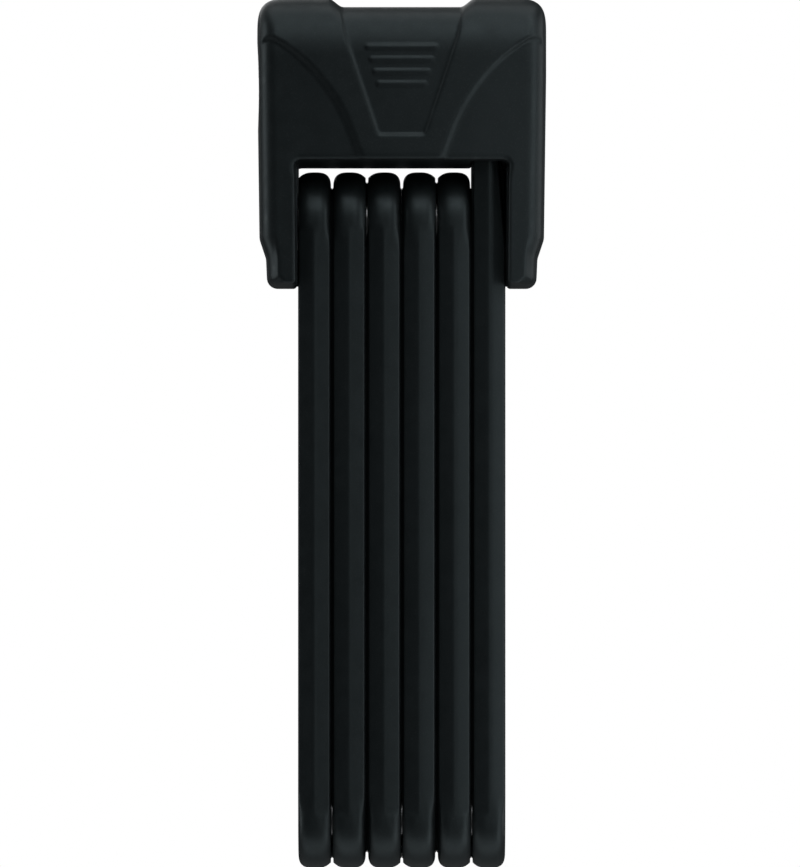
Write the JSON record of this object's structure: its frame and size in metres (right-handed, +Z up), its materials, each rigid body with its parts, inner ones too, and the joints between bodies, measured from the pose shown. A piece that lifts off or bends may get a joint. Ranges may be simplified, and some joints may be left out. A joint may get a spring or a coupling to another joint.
{
  "type": "folding bike lock",
  "caption": "Folded bike lock: a U-shaped lock body with a key cylinder and bolt, over a stack of covered steel links riveted end to end.",
  "frame": {"origin": "middle of the lock body, on the shared axis of its key cylinder and bolt", "axes": "+Z up, from the links to the lock body; +X from the keyway side to the latch side, across the stack of links; front at -Y"},
  "size_m": [0.0664, 0.033, 0.1998],
  "materials": {
    "body_plastic": "fine satin texture",
    "link_cover": "soft-touch matt",
    "link_steel": "hardened and brushed",
    "rivet_steel": "turned",
    "washer_steel": "turned",
    "cast_zinc": "as cast",
    "bezel": "satin black",
    "cylinder_brass": "machined",
    "plug_face": "satin nickel",
    "spring_steel": "bright"
  },
  "bodies": {
    "lock_body": {"front_cover": "body_plastic", "rear_cover": "body_plastic", "lock_core": "cast_zinc", "body_rivet": "rivet_steel", "body_washer": "washer_steel", "cylinder_shell": "cylinder_brass", "pin_chamber_strip": "cylinder_brass", "cylinder_roll_pin": "spring_steel", "keyway_bezel": "bezel", "driver_pin_1": "rivet_steel", "driver_pin_2": "rivet_steel", "driver_pin_3": "rivet_steel", "driver_pin_4": "rivet_steel", "driver_pin_5": "rivet_steel", "pin_spring_1": "spring_steel", "pin_spring_2": "spring_steel", "pin_spring_3": "spring_steel", "pin_spring_4": "spring_steel", "pin_spring_5": "spring_steel"},
    "link_1": {"link_bar_1": "link_steel", "link_cover_1": "link_cover", "joint_rivet_1": "rivet_steel", "joint_washer_1": "washer_steel"},
    "link_2": {"link_bar_2": "link_steel", "link_cover_2": "link_cover", "joint_rivet_2": "rivet_steel", "joint_washer_2": "washer_steel"},
    "link_3": {"link_bar_3": "link_steel", "link_cover_3": "link_cover", "joint_rivet_3": "rivet_steel", "joint_washer_3": "washer_steel"},
    "link_4": {"link_bar_4": "link_steel", "link_cover_4": "link_cover", "joint_rivet_4": "rivet_steel", "joint_washer_4": "washer_steel"},
    "link_5": {"link_bar_5": "link_steel", "link_cover_5": "link_cover", "joint_rivet_5": "rivet_steel", "joint_washer_5": "washer_steel"},
    "link_6": {"link_bar_6": "link_steel", "link_cover_6": "link_cover"},
    "key_plug": {"cylinder_plug": "plug_face", "plug_clip": "spring_steel", "drive_cam": "link_steel", "key_pin_1": "cylinder_brass", "key_pin_2": "cylinder_brass", "key_pin_3": "cylinder_brass", "key_pin_4": "cylinder_brass", "key_pin_5": "cylinder_brass"},
    "bolt": {"locking_bolt": "rivet_steel", "bolt_pin": "rivet_steel"}
  },
  "joints": [
    {"name": "body_to_link_1", "type": "hinge", "parent": "lock_body", "child": "link_1", "pos_m": [0, 0, -0.0275], "axis": [1, 0, 0], "range_deg": [-95, 0]},
    {"name": "unfold_link_2", "type": "hinge", "parent": "link_1", "child": "link_2", "pos_m": [0, 0, -0.1645], "axis": [1, 0, 0], "range_deg": [0, 180]},
    {"name": "unfold_link_3", "type": "hinge", "parent": "link_2", "child": "link_3", "pos_m": [0, 0, -0.0275], "axis": [1, 0, 0], "range_deg": [-180, 0]},
    {"name": "unfold_link_4", "type": "hinge", "parent": "link_3", "child": "link_4", "pos_m": [0, 0, -0.1645], "axis": [1, 0, 0], "range_deg": [-180, 0]},
    {"name": "unfold_link_5", "type": "hinge", "parent": "link_4", "child": "link_5", "pos_m": [0, 0, -0.0275], "axis": [1, 0, 0], "range_deg": [0, 180]},
    {"name": "swing_link_6", "type": "hinge", "parent": "link_5", "child": "link_6", "pos_m": [0, 0, -0.1645], "axis": [1, 0, 0], "range_deg": [-180, 0]},
    {"name": "turn_key_plug", "type": "hinge", "parent": "lock_body", "child": "key_plug", "pos_m": [0, 0, 0], "axis": [1, 0, 0], "range_deg": [0, 90]},
    {"name": "slide_bolt", "type": "slide", "parent": "lock_body", "child": "bolt", "axis": [1, 0, 0], "range_m": [0, 0.009]}
  ],
  "couplings": [
    {"joint": "unfold_link_3", "follows": "unfold_link_2", "ratio": -1},
    {"joint": "unfold_link_4", "follows": "unfold_link_2", "ratio": -1},
    {"joint": "unfold_link_5", "follows": "unfold_link_2", "ratio": 1},
    {"joint": "slide_bolt", "follows": "turn_key_plug", "m_per_rad": 0.005729}
  ]
}
